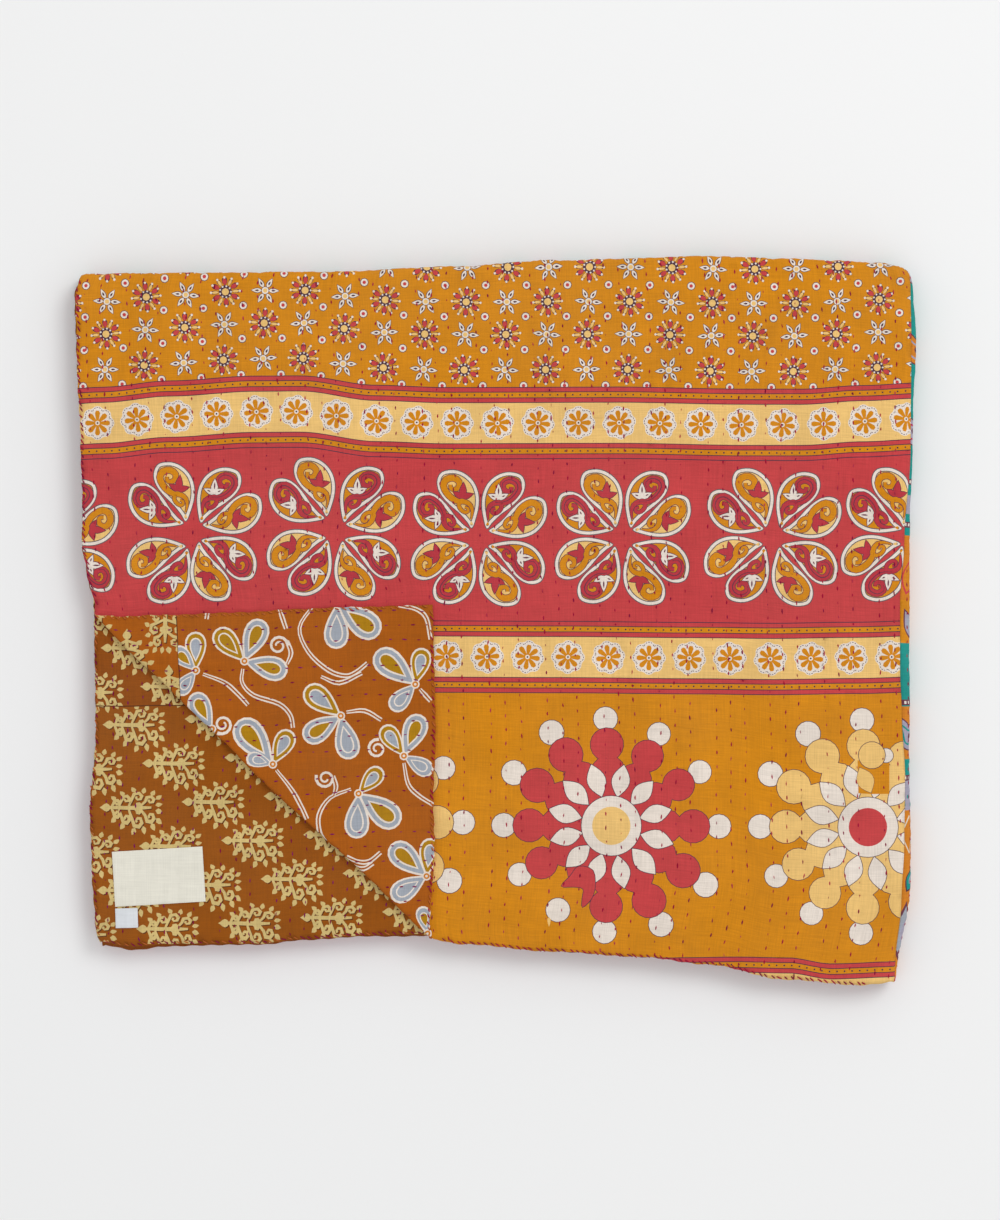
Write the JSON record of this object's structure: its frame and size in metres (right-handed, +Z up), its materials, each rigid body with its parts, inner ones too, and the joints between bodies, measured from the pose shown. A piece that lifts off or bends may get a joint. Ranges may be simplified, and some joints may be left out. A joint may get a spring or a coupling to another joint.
{
  "type": "kantha quilt",
  "caption": "Thin hand-stitched patchwork cotton quilt, folded for storage, with a corner turned back to show its patterned reverse and sewn-on labels.",
  "frame": {"origin": "on the surface that the folded quilt lies on, under the middle of its box", "axes": "+X to the right along the long side, from the open hems to the big side fold; +Y away from the hems of the turned-back corner towards the far folds; +Z up through the layers"},
  "size_m": [0.6422, 0.5558, 0.029],
  "materials": {
    "printed_cotton": "printed cotton, soft and matt",
    "stitch_thread": "cotton thread, matt",
    "label_tape": "plain woven tape, unprinted",
    "care_tape": "plain satin tape, unprinted"
  },
  "bodies": {
    "root": {"quilt": "printed_cotton", "label": "label_tape", "care_tab": "care_tape"}
  },
  "joints": []
}
